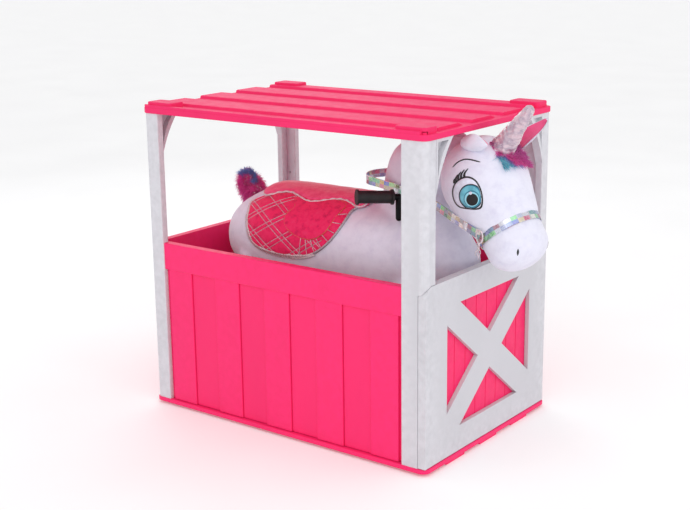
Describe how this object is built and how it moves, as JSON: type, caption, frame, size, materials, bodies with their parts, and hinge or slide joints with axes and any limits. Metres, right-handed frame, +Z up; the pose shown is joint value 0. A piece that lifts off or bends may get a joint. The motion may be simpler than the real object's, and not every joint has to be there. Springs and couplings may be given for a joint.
{
  "type": "kiddie ride machine",
  "caption": "Plush unicorn battery ride-on with saddle, reins and handlebar, parked in a plank-walled toy stable with a crossed-bar gate and a slatted roof.",
  "frame": {"origin": "on the ground at the centre of the stable's footprint, on the underside of its middle runner", "axes": "+X the way the unicorn faces, +Y its left, +Z up"},
  "size_m": [1.14, 0.631, 0.9307],
  "materials": {
    "pink_plastic": "satin blow-moulded plastic",
    "white_plastic": "satin blow-moulded plastic",
    "white_plush": "short-pile plush",
    "saddle_velvet": "crushed velvet, padded and quilted",
    "holographic_strap": "iridescent foil strap",
    "horn_vinyl": "puckered iridescent foil over stuffing",
    "fur": "long-pile dyed fur",
    "hoof_foil": "silver foil fabric",
    "grip_rubber": "ribbed moulded grip",
    "black_steel": "powder coat",
    "zinc_steel": "zinc plated",
    "wheel_plastic": "moulded wheel",
    "battery_plastic": "moulded case",
    "board": "printed circuit board",
    "bush_plastic": "nylon",
    "switch_plastic": "moulded"
  },
  "bodies": {
    "stable": {"floor_base": "pink_plastic", "front_right_post": "white_plastic", "front_left_post": "white_plastic", "rear_right_post_lower": "white_plastic", "rear_right_post_upper": "white_plastic", "rear_left_post_lower": "white_plastic", "rear_left_post_upper": "white_plastic", "front_corner_braces": "white_plastic", "rear_corner_braces": "white_plastic", "right_side_panel": "pink_plastic", "left_side_panel": "pink_plastic", "rear_panel": "pink_plastic", "roof_panel": "pink_plastic", "roof_corner_caps": "pink_plastic", "roof_bolts": "zinc_steel", "panel_screws": "zinc_steel", "gate_hinge_pins": "zinc_steel", "gate_keeper": "zinc_steel"},
    "gate": {"gate_frame": "white_plastic", "gate_backing_panel": "pink_plastic", "gate_bolt_guides": "white_plastic"},
    "gate_bolt": {"gate_bolt": "zinc_steel"},
    "unicorn": {"chassis_frame": "black_steel", "rear_axle": "zinc_steel", "rear_gearmotors": "battery_plastic", "battery": "battery_plastic", "control_board": "board", "column_bushes": "bush_plastic", "torso_plush": "white_plush", "neck_plush": "white_plush", "head_plush": "white_plush", "front_legs": "white_plush", "rear_legs": "white_plush", "hooves": "hoof_foil", "ears": "white_plush", "horn": "horn_vinyl", "forelock": "fur", "mane": "fur", "tail": "fur", "noseband": "holographic_strap", "reins": "holographic_strap", "saddle_seat": "saddle_velvet", "saddle_flaps": "saddle_velvet", "switch_panel": "switch_plastic"},
    "steering": {"steering_column": "black_steel", "handlebar": "black_steel", "front_truck": "black_steel", "front_axle": "zinc_steel", "left_grip": "grip_rubber"},
    "throttle": {"throttle_grip": "grip_rubber"},
    "power_switch": {"power_switch": "switch_plastic"},
    "direction_switch": {"direction_switch": "switch_plastic"},
    "rear_right_wheel": {"rear_right_wheel": "wheel_plastic"},
    "rear_left_wheel": {"rear_left_wheel": "wheel_plastic"},
    "front_right_wheel": {"front_right_wheel": "wheel_plastic"},
    "front_left_wheel": {"front_left_wheel": "wheel_plastic"}
  },
  "joints": [
    {"name": "gate_hinge", "type": "hinge", "parent": "stable", "child": "gate", "pos_m": [0.4635, 0.301, 0.25], "axis": [0, 0, 1], "range_deg": [0, 105]},
    {"name": "gate_bolt_slide", "type": "slide", "parent": "gate", "child": "gate_bolt", "axis": [0, -1, 0], "range_m": [0, 0.02]},
    {"name": "unicorn_roll", "type": "slide", "parent": "stable", "child": "unicorn", "axis": [1, 0, 0], "range_m": [-0.012, 0.012]},
    {"name": "steering_turn", "type": "hinge", "parent": "unicorn", "child": "steering", "pos_m": [0.235, 0, 0.4], "axis": [0, 0, 1], "range_deg": [-15, 15]},
    {"name": "throttle_twist", "type": "hinge", "parent": "steering", "child": "throttle", "pos_m": [0.258, -0.112, 0.668], "axis": [-0.6454, -0.7619, 0.0538], "range_deg": [0, 45], "stiffness_Nm_per_rad": 0.15},
    {"name": "power_switch_rock", "type": "hinge", "parent": "unicorn", "child": "power_switch", "pos_m": [0.082, 0.162, 0.527], "axis": [1, 0, 0], "range_deg": [-8, 8]},
    {"name": "direction_switch_rock", "type": "hinge", "parent": "unicorn", "child": "direction_switch", "pos_m": [0.118, 0.162, 0.527], "axis": [1, 0, 0], "range_deg": [-8, 8]},
    {"name": "rear_right_wheel_spin", "type": "hinge", "parent": "unicorn", "child": "rear_right_wheel", "pos_m": [-0.25, 0, 0.0894], "axis": [0, 1, 0], "continuous": true},
    {"name": "front_right_wheel_spin", "type": "hinge", "parent": "steering", "child": "front_right_wheel", "pos_m": [0.235, 0, 0.0744], "axis": [0, 1, 0], "continuous": true},
    {"name": "rear_left_wheel_spin", "type": "hinge", "parent": "unicorn", "child": "rear_left_wheel", "pos_m": [-0.25, 0, 0.0894], "axis": [0, 1, 0], "continuous": true},
    {"name": "front_left_wheel_spin", "type": "hinge", "parent": "steering", "child": "front_left_wheel", "pos_m": [0.235, 0, 0.0744], "axis": [0, 1, 0], "continuous": true}
  ]
}
